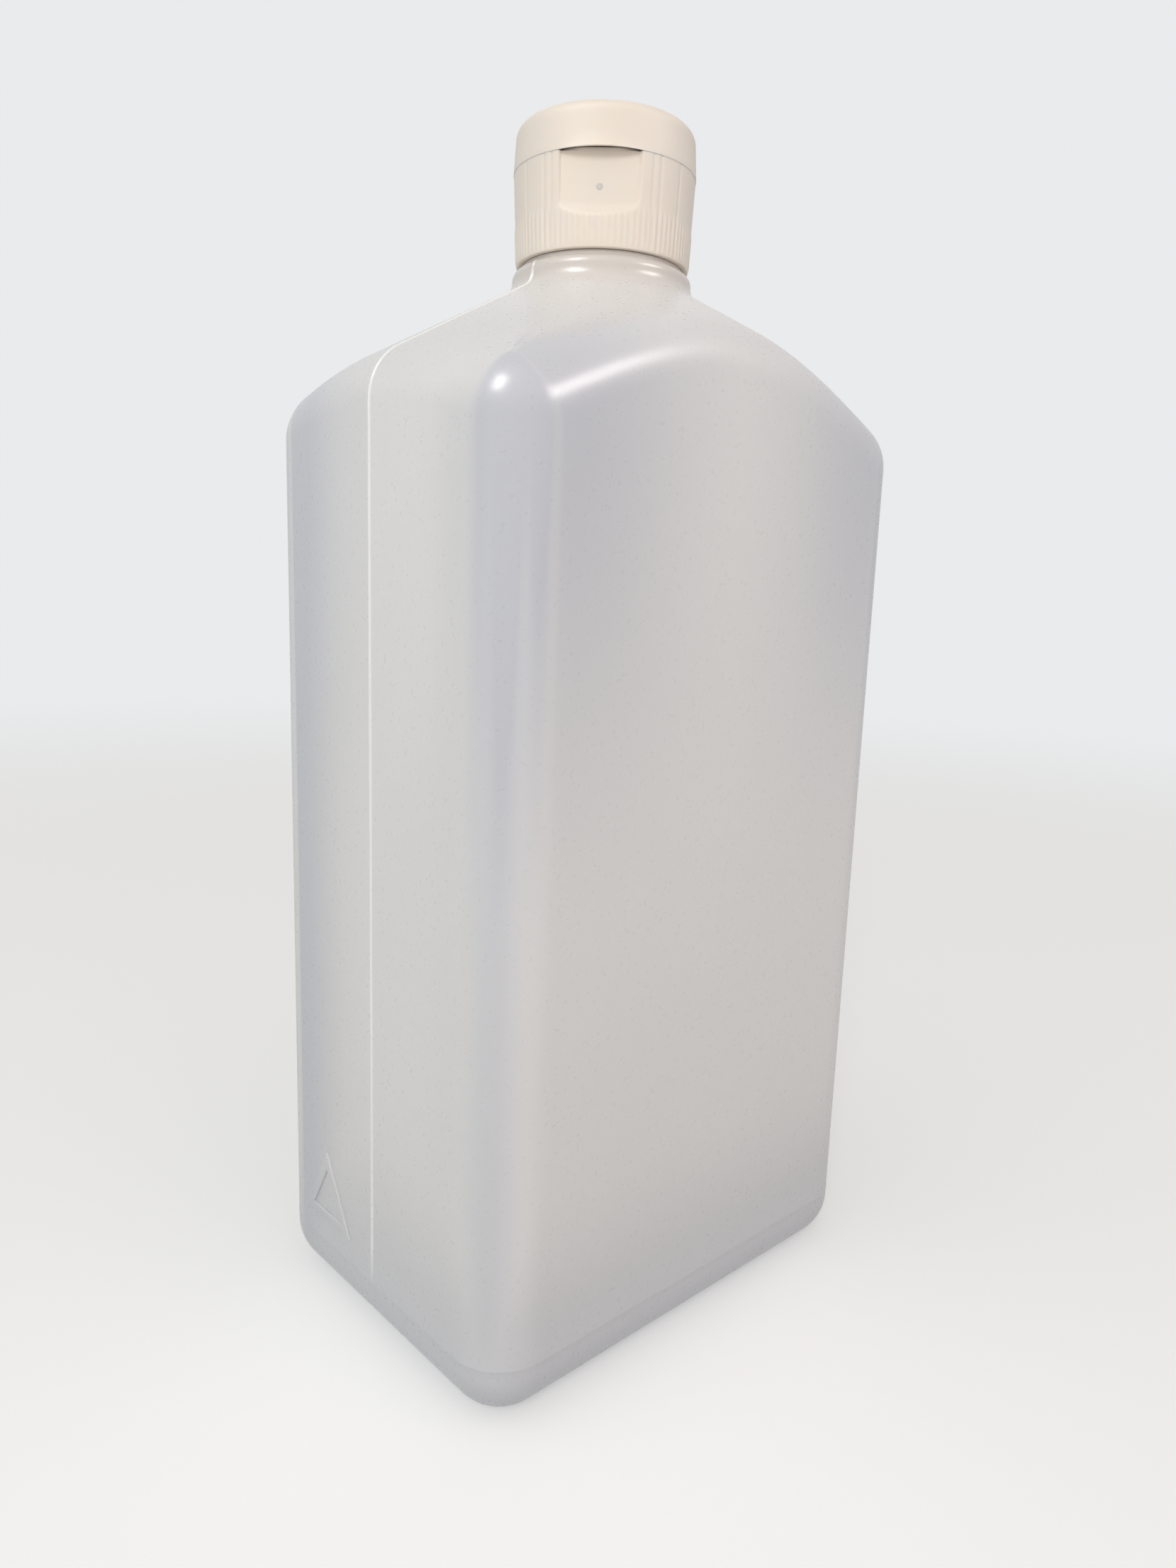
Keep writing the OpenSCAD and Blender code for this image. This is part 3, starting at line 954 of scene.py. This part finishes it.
def lid_section():
    """The lid's section from the middle of its crown, down its wall and back to the pin's tip."""
    flat_r = LID_TOP_R - LID_ROUND
    crown = [(flat_r * k / 6, lid_top + CROWN * (1 - (k / 6) ** 2), 0) for k in range(6)]
    edge = [(p[0], p[1], 0) for p in arc(flat_r, round_z, LID_ROUND, 90, 0, 10)]
    wall = [
        (LID_TOP_R + (LID_R - LID_TOP_R) * k / 12, round_z + (seam - round_z) * k / 12, 0)
        for k in range(1, 12)
    ]
    ceiling = lid_top - LID_WALL
    return rounded_section([
        *crown, *edge, *wall, (LID_R, seam, SEAM_ROUND), (INNER_R, seam, 0.15), (INNER_R, ceiling, 0.6),
        (PIN_R, ceiling, 0.5), (PIN_R, spout_top, 0), (PIN_TIP_R, spout_top - PIN_DEPTH, 0.3),
        (0, spout_top - PIN_DEPTH, 0),
    ])


def lip_radius(angle, z):
    """Radius of the thumb lip's cone seen from the lid's axis, or 0 where the cone has ended."""
    up = (z - seam) / LIP_H
    if up > 1.3 or math.cos(angle) < 0.5:
        return 0.0
    cone_r = LID_R + LIP_OUT - LIP_FORWARD - (LIP_OUT + LIP_LEAN) * up
    side = LIP_FORWARD * math.sin(angle - RECESS_TURN)
    return LIP_FORWARD * math.cos(angle - RECESS_TURN) + math.sqrt(cone_r**2 - side**2)


bm = spin_section(lid_section(), LID_STEPS)
for vert in bm.verts:
    radius = vert.co.to_2d().length
    angle = angle_from_recess(vert.co)
    behind = math.cos(angle - math.pi)
    front = 1 - smooth(abs(angle - RECESS_TURN), RECESS_HALF, RECESS_HALF + UNDERCUT_FADE)
    if INNER_R - 0.1 < radius < INNER_R + 0.3 and vert.co.z < seam + 0.3:
        vert.co.z += UNDERCUT * front
    if radius > INNER_R + 0.3:
        lip = lip_radius(angle, vert.co.z)
        pushed = -soft_min(-radius, -lip, LIP_ROUND) if lip else radius
        if behind > 0.5:
            pushed = soft_min(pushed, HINGE_FLAT / behind, SOFT_EDGE)
        set_radius(vert, pushed)
    elif radius > INNER_R - 1 and vert.co.z < lid_top - LID_WALL + 0.01 and behind > 0.5:
        set_radius(vert, min(radius, (HINGE_FLAT - LID_WALL) / behind))
bmesh.ops.recalc_face_normals(bm, faces=bm.faces)
turn_all(bm, CAP_TURN)
lid = finish_piece(bm, "lid_shell", "lid")
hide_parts("lid")

# %% [markdown]
# ## The living hinge
#
# A thin web joins the base and the lid behind, and bends when the lid opens. It crosses the joint
# between them. Here it is a plain block with rows up its height, and it rides on neither body.

# %% Hinge web
WEB_W, WEB_T, WEB_H = 9.0, 0.35, 2.0
WEB_SUNK, WEB_BEND = 0.1, 0.6
bm = bmesh.new()
bmesh.ops.create_cube(bm, size=1)
bmesh.ops.scale(bm, vec=(WEB_W, WEB_T, WEB_H), verts=bm.verts)
upright = [e for e in bm.edges if abs(e.verts[0].co.z - e.verts[1].co.z) > 1]
bmesh.ops.subdivide_edges(bm, edges=upright, cuts=12, use_grid_fill=True)
bmesh.ops.translate(bm, verts=bm.verts, vec=(0, HINGE_FLAT + WEB_T / 2 - WEB_SUNK, seat))
turn_all(bm, CAP_TURN)
bmesh.ops.scale(bm, vec=(MM, MM, MM), verts=bm.verts)
web = make_object(bm, "hinge_web")
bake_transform(web)

# %% [markdown]
# ## Materials
#
# The bottle's natural polyethylene is milky: light goes in, scatters and comes out about a
# millimetre away. The Principled shader's subsurface does that on the closed shell. A faint
# cloudiness comes from uneven wall thickness, and the satin skin from a fine bump. On top of that,
# light and shade are painted into the colour: a darker, bluer painted shade on the corners, edges
# and foot, a darker, warmer painted shade with warm bounced light on the neck, and a whiter painted
# highlight along the parting ridge. The cap's polypropylene is made in the same way, warmer and
# duller.

# %% Materials
NOISE_LOW, NOISE_HIGH = 0.3, 0.7
SCATTER = 0.0008
PE_DARK, PE_LIGHT = (0.80, 0.79, 0.785), (0.82, 0.81, 0.805)
# Painted light: a darker, bluer shade for corners, edges and foot, a darker, warmer shade with warm bounced
# light for the neck, and a whiter highlight for the ridge.
PE_THIN_SHADE, PE_NECK_SHADE, PE_RIDGE_HIGHLIGHT = (0.60, 0.612, 0.66), (0.685, 0.64, 0.60), (0.97, 0.97, 0.96)
PP_DARK, PP_LIGHT = (0.845, 0.765, 0.68), (0.865, 0.79, 0.71)


def principled(name):
    """A new material with one Principled shader, its nodes and its links."""
    material = bpy.data.materials.new(name)
    material.use_nodes = True
    nodes, links = material.node_tree.nodes, material.node_tree.links
    return material, nodes, links, nodes["Principled BSDF"]


def noise(nodes, links, place, scale, detail):
    """A noise texture in the object's own coordinates."""
    texture = nodes.new("ShaderNodeTexNoise")
    texture.inputs["Scale"].default_value = scale
    texture.inputs["Detail"].default_value = detail
    links.new(place, texture.inputs["Vector"])
    return texture.outputs["Fac"]


def ramp(nodes, links, value, low, high):
    """A colour between two, by a noise value."""
    node = nodes.new("ShaderNodeValToRGB")
    node.color_ramp.elements[0].position = NOISE_LOW
    node.color_ramp.elements[0].color = (*low, 1)
    node.color_ramp.elements[1].position = NOISE_HIGH
    node.color_ramp.elements[1].color = (*high, 1)
    links.new(value, node.inputs["Fac"])
    return node.outputs["Color"]


def map_range(nodes, links, value, start, end, low=0.0, high=1.0, curve="LINEAR"):
    """Brings a value from start and end, numbers or sockets, to low and high."""
    node = nodes.new("ShaderNodeMapRange")
    node.interpolation_type = curve
    node.inputs["To Min"].default_value = low
    node.inputs["To Max"].default_value = high
    for given, socket in ((start, node.inputs["From Min"]), (end, node.inputs["From Max"])):
        if isinstance(given, (int, float)):
            socket.default_value = given
        else:
            links.new(given, socket)
    links.new(value, node.inputs["Value"])
    return node.outputs["Result"]


def spread(nodes, links, value, low, high):
    """Brings a noise value to a range, for roughness."""
    return map_range(nodes, links, value, NOISE_LOW, NOISE_HIGH, low, high)


def bump(nodes, links, heights, shader):
    """Adds bumps one on another: each is (height value, distance in metres, strength)."""
    last = None
    for height, distance, strength in heights:
        node = nodes.new("ShaderNodeBump")
        node.inputs["Distance"].default_value = distance
        node.inputs["Strength"].default_value = strength
        links.new(height, node.inputs["Height"])
        if last is not None:
            links.new(last, node.inputs["Normal"])
        last = node.outputs["Normal"]
    links.new(last, shader.inputs["Normal"])


def blend_colour(nodes, links, below, above, factor):
    """One colour over another, by a value. A colour is a socket or three numbers."""
    node = nodes.new("ShaderNodeMix")
    node.data_type = "RGBA"
    links.new(factor, node.inputs["Factor"])
    for colour, socket in ((below, node.inputs[6]), (above, node.inputs[7])):
        if isinstance(colour, tuple):
            socket.default_value = (*colour, 1)
        else:
            links.new(colour, socket)
    return node.outputs[2]


def point_value(nodes, name):
    """A value that the mesh carries on its points."""
    node = nodes.new("ShaderNodeAttribute")
    node.attribute_name = name
    return node.outputs["Fac"]


def object_place(nodes):
    """The object's own coordinates, in metres."""
    return nodes.new("ShaderNodeTexCoord").outputs["Object"]


def height_share(nodes, links, place, low, high):
    """0 below one height in millimetres, 1 above another and an S curve between."""
    parts = nodes.new("ShaderNodeSeparateXYZ")
    links.new(place, parts.inputs["Vector"])
    return map_range(nodes, links, parts.outputs["Z"], low * MM, high * MM, curve="SMOOTHSTEP")


def scatter(shader, ior, weight, radius):
    """Lets light go into the plastic and come out nearby. The radius is for red, green and blue."""
    shader.inputs["IOR"].default_value = ior
    shader.inputs["Subsurface Weight"].default_value = weight
    shader.inputs["Subsurface Radius"].default_value = radius
    shader.inputs["Subsurface Scale"].default_value = SCATTER


def natural_polyethylene():
    """Milky blown polyethylene with a satin skin, and light and shade painted into its colour."""
    material, nodes, links, shader = principled("natural_polyethylene")
    place = object_place(nodes)
    cloud = noise(nodes, links, place, 22, 3)
    panel = ramp(nodes, links, cloud, PE_DARK, PE_LIGHT)
    # Painted shade, darker and bluer, on the corners, edges and foot.
    thin_shaded = blend_colour(nodes, links, panel, PE_THIN_SHADE, point_value(nodes, THIN_SHADE_LAYER))
    # Painted shade, darker and warmer, on the neck and collar, standing for the cap's shade and its warm
    # bounced light.
    neck_shade_share = height_share(nodes, links, place, shoulder - 3, shoulder + 2)
    neck_shaded = blend_colour(nodes, links, thin_shaded, PE_NECK_SHADE, neck_shade_share)
    # Painted highlight, whiter, along the parting ridge.
    ridge_highlighted = blend_colour(nodes, links, neck_shaded, PE_RIDGE_HIGHLIGHT, point_value(nodes, RIDGE_HIGHLIGHT_LAYER))
    links.new(ridge_highlighted, shader.inputs["Base Color"])
    grain = noise(nodes, links, place, 1400, 2)
    wave = noise(nodes, links, place, 60, 2)
    links.new(spread(nodes, links, grain, 0.27, 0.31), shader.inputs["Roughness"])
    bump(nodes, links, [(wave, 0.0008, 0.08), (grain, 0.00003, 0.02)], shader)
    scatter(shader, 1.52, 0.45, (1.0, 1.0, 0.95))
    return material


def white_polypropylene():
    """Warm white moulded polypropylene, denser than the bottle's plastic."""
    material, nodes, links, shader = principled("white_polypropylene")
    place = object_place(nodes)
    cloud = noise(nodes, links, place, 60, 2)
    links.new(ramp(nodes, links, cloud, PP_DARK, PP_LIGHT), shader.inputs["Base Color"])
    grain = noise(nodes, links, place, 1800, 2)
    links.new(spread(nodes, links, grain, 0.50, 0.58), shader.inputs["Roughness"])
    bump(nodes, links, [(cloud, 0.0002, 0.06), (grain, 0.00003, 0.05)], shader)
    scatter(shader, 1.49, 0.5, (1.0, 0.85, 0.7))
    return material


def wear(piece, material):
    """Gives a piece one material."""
    piece.data.materials.clear()
    piece.data.materials.append(material)


polyethylene = natural_polyethylene()
polypropylene = white_polypropylene()
for piece in (bottle, triangle, weld, neck_thread):
    wear(piece, polyethylene)
for piece in (cap, lid, web, gate_mark, cap_thread):
    wear(piece, polypropylene)

# %% [markdown]
# ## Floor
#
# The bottle stands on a plain pale floor. Far out, the floor fades into the background's own
# colour, so there is no horizon to draw the eye in any view. For the rays that carry light, the
# floor near the bottle is darker than the camera sees it, so that less light comes from below.

# %% Floor
BACKGROUND = (0.82, 0.83, 0.84)
FLOOR_COLOUR = (0.80, 0.80, 0.80)
FLOOR_COLOUR_FOR_LIGHT = (0.38, 0.40, 0.42)
FLOOR_R = 3.0
FADE_START, FADE_END = 0.25, 1.1
LIGHT_FADE_START, LIGHT_FADE_END = 0.12, 0.6
FLOOR_LIFT, FLOOR_LIFT_FOR_LIGHT = 0.35, 0.05
GLOW, GLOW_FOR_LIGHT = 1.0, 0.95


def seen_ray(nodes, links):
    """1 for the rays that show a background: straight from the camera, mirrored or through glass."""
    path = nodes.new("ShaderNodeLightPath")
    shown = path.outputs["Is Camera Ray"]
    for ray in ("Is Glossy Ray", "Is Transmission Ray"):
        either = nodes.new("ShaderNodeMath")
        either.operation = "MAXIMUM"
        links.new(shown, either.inputs[0])
        links.new(path.outputs[ray], either.inputs[1])
        shown = either.outputs["Value"]
    return shown


def choose(nodes, links, share, low, high):
    """One of two numbers, by a share from 0 to 1."""
    return map_range(nodes, links, share, 0, 1, low, high)


def floor_material():
    """A pale floor that fades into the background with the distance from the bottle."""
    material, nodes, links, shader = principled("pale_floor")
    place = object_place(nodes)
    shown = seen_ray(nodes, links)
    colour = blend_colour(nodes, links, FLOOR_COLOUR_FOR_LIGHT, FLOOR_COLOUR, shown)
    links.new(colour, shader.inputs["Base Color"])
    shader.inputs["Roughness"].default_value = 0.8
    shader.inputs["Specular IOR Level"].default_value = 0.2
    shader.inputs["Emission Color"].default_value = (*BACKGROUND, 1)
    lift = choose(nodes, links, shown, FLOOR_LIFT_FOR_LIGHT, FLOOR_LIFT)
    links.new(lift, shader.inputs["Emission Strength"])
    distance = nodes.new("ShaderNodeVectorMath")
    distance.operation = "LENGTH"
    links.new(place, distance.inputs[0])
    start = choose(nodes, links, shown, LIGHT_FADE_START, FADE_START)
    end = choose(nodes, links, shown, LIGHT_FADE_END, FADE_END)
    fade = map_range(nodes, links, distance.outputs["Value"], start, end, curve="SMOOTHSTEP")
    glow = nodes.new("ShaderNodeEmission")
    glow.inputs["Color"].default_value = (*BACKGROUND, 1)
    links.new(choose(nodes, links, shown, GLOW_FOR_LIGHT, GLOW), glow.inputs["Strength"])
    mix = nodes.new("ShaderNodeMixShader")
    links.new(fade, mix.inputs["Fac"])
    links.new(shader.outputs["BSDF"], mix.inputs[1])
    links.new(glow.outputs["Emission"], mix.inputs[2])
    links.new(mix.outputs["Shader"], nodes["Material Output"].inputs["Surface"])
    return material


bm = bmesh.new()
bmesh.ops.create_circle(bm, cap_ends=True, segments=96, radius=FLOOR_R)
floor = make_object(bm, "floor")
wear(floor, floor_material())

# %% [markdown]
# ## Background and sky
#
# The sky that lights the bottle is brightest at the front left and dim on the far side. The
# camera sees a plain background instead.

# %% Background and sky
SKY_DIM, SKY_BRIGHT = 0.05, 0.80
SKY_BRIGHT_WAY = (-51, 32)
SKY_LEFT_COLOUR, SKY_RIGHT_COLOUR = (0.93, 0.98, 0.95), (1.0, 0.90, 0.85)
SKY_RIGHT_WAY = (40, 0)


def way_to(azimuth, elevation):
    """The direction of a place in the sky. Azimuth 0 is in front of the wide face, 90 at its right."""
    turn, rise = math.radians(azimuth), math.radians(elevation)
    return Vector((math.sin(turn) * math.cos(rise), -math.cos(turn) * math.cos(rise), math.sin(rise)))


def facing_share(nodes, links, towards, start):
    """How much a place of the sky lies towards a direction: 1 at it, 0 where the cosine is start."""
    facing = nodes.new("ShaderNodeVectorMath")
    facing.operation = "DOT_PRODUCT"
    facing.inputs[1].default_value = way_to(*towards)
    links.new(nodes.new("ShaderNodeTexCoord").outputs["Generated"], facing.inputs[0])
    return map_range(nodes, links, facing.outputs["Value"], start, 1, curve="SMOOTHSTEP")


def sky():
    """A plain world: camera, glossy and transmission rays see the background's colour."""
    world = bpy.data.worlds.new("sky")
    bpy.context.scene.world = world
    world.use_nodes = True
    nodes, links = world.node_tree.nodes, world.node_tree.links
    light = nodes["Background"]
    bright = facing_share(nodes, links, SKY_BRIGHT_WAY, -0.7)
    right = facing_share(nodes, links, SKY_RIGHT_WAY, -1.0)
    colour = blend_colour(nodes, links, SKY_LEFT_COLOUR, SKY_RIGHT_COLOUR, right)
    links.new(colour, light.inputs["Color"])
    strength = choose(nodes, links, bright, SKY_DIM, SKY_BRIGHT)
    links.new(strength, light.inputs["Strength"])
    seen = nodes.new("ShaderNodeBackground")
    seen.inputs["Color"].default_value = (*BACKGROUND, 1)
    mix = nodes.new("ShaderNodeMixShader")
    links.new(seen_ray(nodes, links), mix.inputs["Fac"])
    links.new(light.outputs["Background"], mix.inputs[1])
    links.new(seen.outputs["Background"], mix.inputs[2])
    links.new(mix.outputs["Shader"], nodes["World Output"].inputs["Surface"])


sky()

# %% [markdown]
# ## Lamps
#
# The front lamp only lights. The other two only make the highlights on the shoulder's edge, the
# corner and the collar.

# %% Lamps
LAMP_FAR = 0.9
LAMP_AIM = Vector((0, 0, 0.12))


def lamp(name, azimuth, elevation, width, height, power, colour, highlight):
    """A soft lamp that looks at the bottle. It only lights, or it only makes a highlight."""
    data = bpy.data.lights.new(name, "AREA")
    data.shape = "RECTANGLE"
    data.size, data.size_y = width, height
    data.energy = power
    data.color = colour
    way = way_to(azimuth, elevation)
    holder = bpy.data.objects.new(name, data)
    holder.location = LAMP_AIM + way * LAMP_FAR
    holder.rotation_euler = way.to_track_quat("Z", "Y").to_euler()
    holder.visible_camera = False
    holder.visible_glossy = highlight
    holder.visible_diffuse = not highlight
    bpy.context.scene.collection.objects.link(holder)


lamp("front_lamp", -48, 32, 0.25, 0.25, 2.45, (1.0, 0.96, 0.92), highlight=False)
lamp("left_lamp", -84, 50, 0.22, 0.32, 4.2, (1.0, 0.99, 0.97), highlight=True)
lamp("right_lamp", 27, 39, 0.32, 0.19, 2.9, (1.0, 0.93, 0.92), highlight=True)

# %% [markdown]
# ## Close
#
# The view transform is set to Standard, so that a colour renders about as it is written.

# %% Close
bpy.context.scene.view_settings.view_transform = "Standard"
